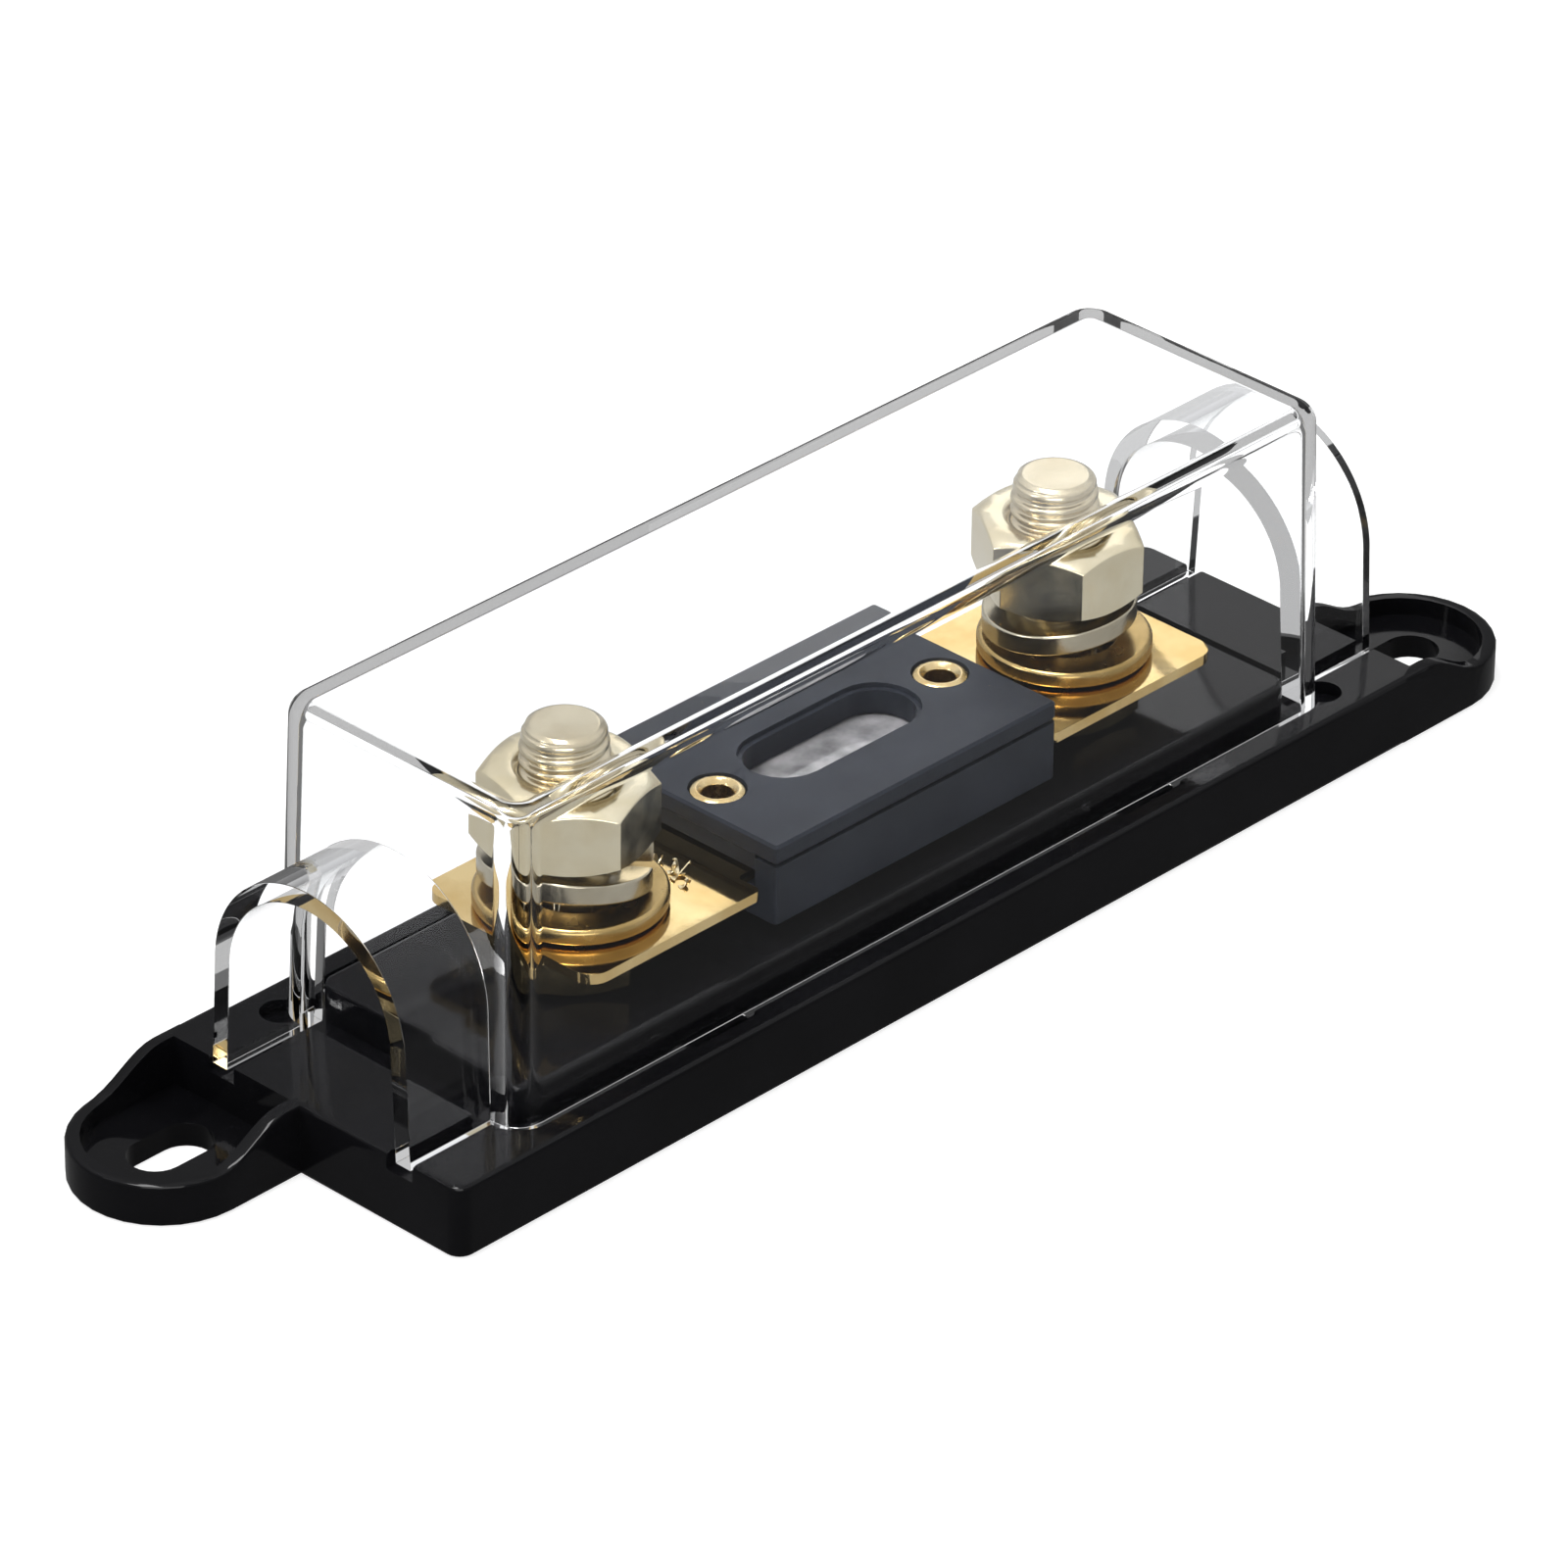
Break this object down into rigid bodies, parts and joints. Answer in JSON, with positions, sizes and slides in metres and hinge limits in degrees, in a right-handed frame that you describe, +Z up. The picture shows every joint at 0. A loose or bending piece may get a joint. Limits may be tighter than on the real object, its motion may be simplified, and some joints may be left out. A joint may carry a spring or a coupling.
{
  "type": "fuse holder",
  "caption": "Bolt-down strip fuse holder: black base with slotted ears, studs, nuts and washers clamping a bladed fuse, under a clear lift-off cover arched for cables at each end.",
  "frame": {"origin": "centre of the overall box, in the plane that the base's underside rests on", "axes": "+X along the holder, from one fixing ear to the other; +Z up through the studs; +Y across it, towards the side of the ear at the -X end"},
  "size_m": [0.156, 0.0362, 0.0376],
  "materials": {
    "base_plastic": "glossy black moulding",
    "clear_plastic": "water-clear, polished",
    "yellow_zinc": "pale yellow zinc plating",
    "gold_strip": "bright gold plating",
    "fuse_plastic": "satin blue-black",
    "grey_pane": "hazy grey",
    "eyelet_brass": "plain"
  },
  "bodies": {
    "holder": {"base": "base_plastic", "bolt_left": "yellow_zinc", "bolt_right": "yellow_zinc", "lower_nut_left": "yellow_zinc", "lower_nut_right": "yellow_zinc", "fuse_strip": "gold_strip", "fuse_case": "fuse_plastic", "fuse_lid": "fuse_plastic", "window_pane": "grey_pane", "eyelet_left": "eyelet_brass", "eyelet_right": "eyelet_brass", "flat_washer_left": "yellow_zinc", "flat_washer_right": "yellow_zinc", "spring_washer_left": "yellow_zinc", "spring_washer_right": "yellow_zinc"},
    "cover": {"cover": "clear_plastic"},
    "nut_left": {"top_nut_left": "yellow_zinc"},
    "nut_right": {"top_nut_right": "yellow_zinc"}
  },
  "joints": [
    {"name": "cover_lift", "type": "slide", "parent": "holder", "child": "cover", "axis": [0, 0, 1], "range_m": [0, 0.032]},
    {"name": "nut_left_turn", "type": "hinge", "parent": "holder", "child": "nut_left", "pos_m": [-0.031, 0, 0.0245], "axis": [0, 0, 1], "continuous": true},
    {"name": "nut_right_turn", "type": "hinge", "parent": "holder", "child": "nut_right", "pos_m": [0.031, 0, 0.0245], "axis": [0, 0, 1], "continuous": true}
  ]
}
